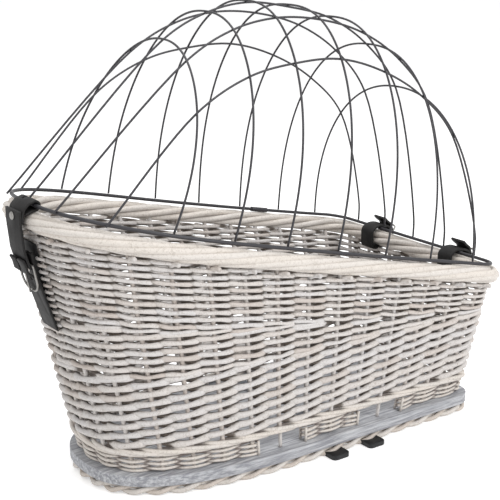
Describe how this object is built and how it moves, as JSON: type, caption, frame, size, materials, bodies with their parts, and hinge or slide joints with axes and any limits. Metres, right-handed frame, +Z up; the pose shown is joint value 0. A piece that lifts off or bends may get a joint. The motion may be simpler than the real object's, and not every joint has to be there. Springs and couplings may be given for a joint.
{
  "type": "dog bicycle basket",
  "caption": "Wicker dog basket for a bicycle's rear rack: sloping rim, wooden board, domed wire grille hinged on leather straps and a buckled closing strap.",
  "frame": {"origin": "on the ground under the middle of the overall length and width", "axes": "+X towards the low square end, +Y to the far side, +Z up"},
  "size_m": [0.581, 0.3174, 0.5088],
  "materials": {
    "willow": "whitewashed peeled willow rods",
    "band": "pale peeled willow rods, smooth",
    "board": "grey-blue paint on solid wood",
    "wire": "dark coated steel wire",
    "leather": "black leather",
    "nickel": "nickel-plated steel",
    "steel": "black coated steel",
    "zinc": "zinc-plated steel"
  },
  "bodies": {
    "basket": {"foot_border": "willow", "foot_weave_high_end": "willow", "foot_weave_near": "willow", "foot_weave_far": "willow", "foot_weave_low_end": "willow", "slot_stake_near_1": "willow", "slot_stake_near_2": "willow", "slot_stake_far_1": "willow", "slot_stake_far_2": "willow", "wicker_wall": "willow", "waling_band": "band", "rim_border": "band", "base_board": "board", "hinge_strap_near": "leather", "hinge_strap_far": "leather", "hinge_buckle_near": "nickel", "hinge_buckle_far": "nickel", "under_strip": "steel", "closure_backing": "leather", "clamp_washer_1_near": "zinc", "clamp_washer_1_far": "zinc", "clamp_washer_2_near": "zinc", "clamp_washer_2_far": "zinc"},
    "grille": {"grille_ring": "wire", "hoop_1": "wire", "hoop_2": "wire", "hoop_3": "wire", "hoop_4": "wire", "hoop_5": "wire", "hoop_6": "wire", "hoop_7": "wire", "runner_1": "wire", "runner_2": "wire", "runner_3": "wire", "runner_4": "wire", "runner_5": "wire", "ring_sleeve": "wire", "closure_tab": "leather"},
    "closure_strap": {"closure_strap": "leather", "closure_billet": "leather", "closure_stud": "nickel", "closure_buckle": "nickel"},
    "closure_prong": {"closure_prong": "nickel"},
    "hinge_prong_near": {"hinge_prong_near": "nickel"},
    "hinge_prong_far": {"hinge_prong_far": "nickel"},
    "clamp_1": {"clamp_bar_1": "steel", "clamp_screw_1_near": "zinc", "clamp_screw_1_far": "zinc"},
    "nut_1_near": {"wing_nut_1_near": "zinc"},
    "nut_1_far": {"wing_nut_1_far": "zinc"},
    "clamp_2": {"clamp_bar_2": "steel", "clamp_screw_2_near": "zinc", "clamp_screw_2_far": "zinc"},
    "nut_2_near": {"wing_nut_2_near": "zinc"},
    "nut_2_far": {"wing_nut_2_far": "zinc"}
  },
  "joints": [
    {"name": "grille_hinge", "type": "hinge", "parent": "basket", "child": "grille", "pos_m": [0.26129, 0, 0.1989], "axis": [0, 1, 0], "range_deg": [0, 105]},
    {"name": "closure_strap_swing", "type": "hinge", "parent": "basket", "child": "closure_strap", "pos_m": [-0.25323, 0, 0.18727], "axis": [0, -1, 0], "range_deg": [0, 50]},
    {"name": "closure_prong_turn", "type": "hinge", "parent": "closure_strap", "child": "closure_prong", "pos_m": [-0.27779, -0.006, 0.26003], "axis": [0, 1, 0], "range_deg": [0, 90]},
    {"name": "hinge_prong_near_turn", "type": "hinge", "parent": "basket", "child": "hinge_prong_near", "pos_m": [0.27669, -0.072, 0.1875], "axis": [0, 1, 0], "range_deg": [0, 90]},
    {"name": "hinge_prong_far_turn", "type": "hinge", "parent": "basket", "child": "hinge_prong_far", "pos_m": [0.27669, 0.072, 0.1875], "axis": [0, 1, 0], "range_deg": [0, 90]},
    {"name": "nut_1_near_turn", "type": "hinge", "parent": "basket", "child": "nut_1_near", "pos_m": [0.04379, -0.056, 0.03], "axis": [0, 0, 1], "range_deg": [-900, 0]},
    {"name": "nut_1_far_turn", "type": "hinge", "parent": "basket", "child": "nut_1_far", "pos_m": [0.04379, 0.056, 0.03], "axis": [0, 0, 1], "range_deg": [-900, 0]},
    {"name": "clamp_1_rise", "type": "slide", "parent": "basket", "child": "clamp_1", "axis": [0, 0, 1], "range_m": [0, 0.0025]},
    {"name": "nut_2_near_turn", "type": "hinge", "parent": "basket", "child": "nut_2_near", "pos_m": [0.09779, -0.056, 0.03], "axis": [0, 0, 1], "range_deg": [-900, 0]},
    {"name": "nut_2_far_turn", "type": "hinge", "parent": "basket", "child": "nut_2_far", "pos_m": [0.09779, 0.056, 0.03], "axis": [0, 0, 1], "range_deg": [-900, 0]},
    {"name": "clamp_2_rise", "type": "slide", "parent": "basket", "child": "clamp_2", "axis": [0, 0, 1], "range_m": [0, 0.0025]}
  ],
  "couplings": [
    {"joint": "nut_1_near_turn", "follows": "clamp_1_rise", "rad_per_m": -6283.2},
    {"joint": "nut_1_far_turn", "follows": "clamp_1_rise", "rad_per_m": -6283.2},
    {"joint": "nut_2_near_turn", "follows": "clamp_2_rise", "rad_per_m": -6283.2},
    {"joint": "nut_2_far_turn", "follows": "clamp_2_rise", "rad_per_m": -6283.2}
  ]
}
